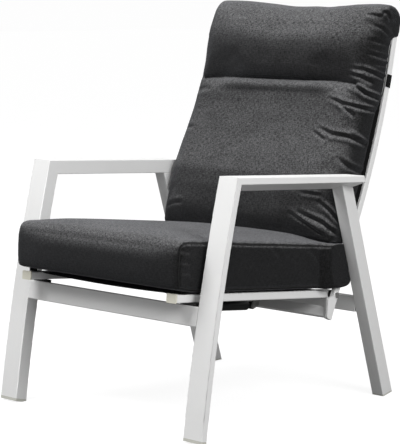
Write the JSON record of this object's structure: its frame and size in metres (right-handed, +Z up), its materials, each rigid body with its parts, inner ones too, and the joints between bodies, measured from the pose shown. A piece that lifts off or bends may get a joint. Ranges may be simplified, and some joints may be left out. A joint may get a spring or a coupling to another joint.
{
  "type": "reclining garden armchair",
  "caption": "High-backed garden armchair in white aluminium with dark cushions; the back reclines on a gas spring and draws the seat forward.",
  "frame": {"origin": "on the floor under the middle of the chair's bounding box", "axes": "+Z up, -Y to the front of the chair, +X to the sitter's left"},
  "size_m": [0.73, 0.8546, 1.04],
  "materials": {
    "powder_coat_white": "satin powder coat",
    "white_plastic": "smooth",
    "black_rubber": "matt",
    "black_plastic": "matt",
    "steel": "zinc plated",
    "sling_fabric": "dense woven mesh",
    "cream_plastic": "smooth",
    "cushion_fabric": "woven melange outdoor cloth",
    "strap_webbing": "woven webbing",
    "black_paint": "satin",
    "chrome_rod": "polished"
  },
  "bodies": {
    "frame": {"front_leg_left": "powder_coat_white", "front_leg_right": "powder_coat_white", "rear_leg_left": "powder_coat_white", "rear_leg_right": "powder_coat_white", "armrest_left": "powder_coat_white", "armrest_right": "powder_coat_white", "armrest_end_caps": "white_plastic", "front_foot_caps": "cream_plastic", "rear_foot_caps": "cream_plastic", "front_cross_tube": "powder_coat_white", "rear_cross_tube": "powder_coat_white", "rear_tube_buffers": "black_rubber", "seat_glides": "black_plastic", "back_pivot_bolts": "steel", "back_pivot_spacers": "black_plastic", "spring_front_bracket": "steel", "spring_front_pin": "steel"},
    "back": {"back_post_left": "powder_coat_white", "back_post_right": "powder_coat_white", "back_post_plugs": "white_plastic", "back_lower_tube": "powder_coat_white", "back_top_tube": "powder_coat_white", "back_sling": "sling_fabric", "spring_rear_bracket": "steel", "spring_rear_pin": "steel", "seat_hinge_bolts": "steel", "seat_hinge_nuts": "steel", "seat_hinge_spacers": "black_plastic", "back_cushion": "cushion_fabric", "back_cushion_strap": "strap_webbing"},
    "seat": {"seat_rail_left": "powder_coat_white", "seat_rail_right": "powder_coat_white", "rail_front_caps": "cream_plastic", "rail_rear_caps": "cream_plastic", "seat_cross_bar": "powder_coat_white", "seat_sling": "sling_fabric", "seat_cushion": "cushion_fabric", "seat_cushion_straps": "strap_webbing"},
    "spring_body": {"gas_spring_cylinder": "black_paint"},
    "spring_rod": {"gas_spring_rod": "chrome_rod", "gas_spring_release_head": "steel"}
  },
  "joints": [
    {"name": "back_recline", "type": "hinge", "parent": "frame", "child": "back", "pos_m": [0, 0.22234, 0.415], "axis": [-1, 0, 0], "range_deg": [0, 25]},
    {"name": "seat_tilt", "type": "hinge", "parent": "back", "child": "seat", "pos_m": [0, 0.16499, 0.28619], "axis": [1, 0, 0], "range_deg": [0, 27.8]},
    {"name": "spring_swing", "type": "hinge", "parent": "back", "child": "spring_body", "pos_m": [0.047, 0.11434, 0.236], "axis": [1, 0, 0], "range_deg": [0, 33.6]},
    {"name": "spring_stroke", "type": "slide", "parent": "spring_body", "child": "spring_rod", "axis": [0, 0.9946, -0.1042], "range_m": [0, 0.0713]}
  ],
  "couplings": [
    {"joint": "seat_tilt", "follows": "back_recline", "ratio": 1.11},
    {"joint": "spring_swing", "follows": "back_recline", "ratio": 1.34},
    {"joint": "spring_stroke", "follows": "back_recline", "m_per_rad": 0.16329}
  ]
}
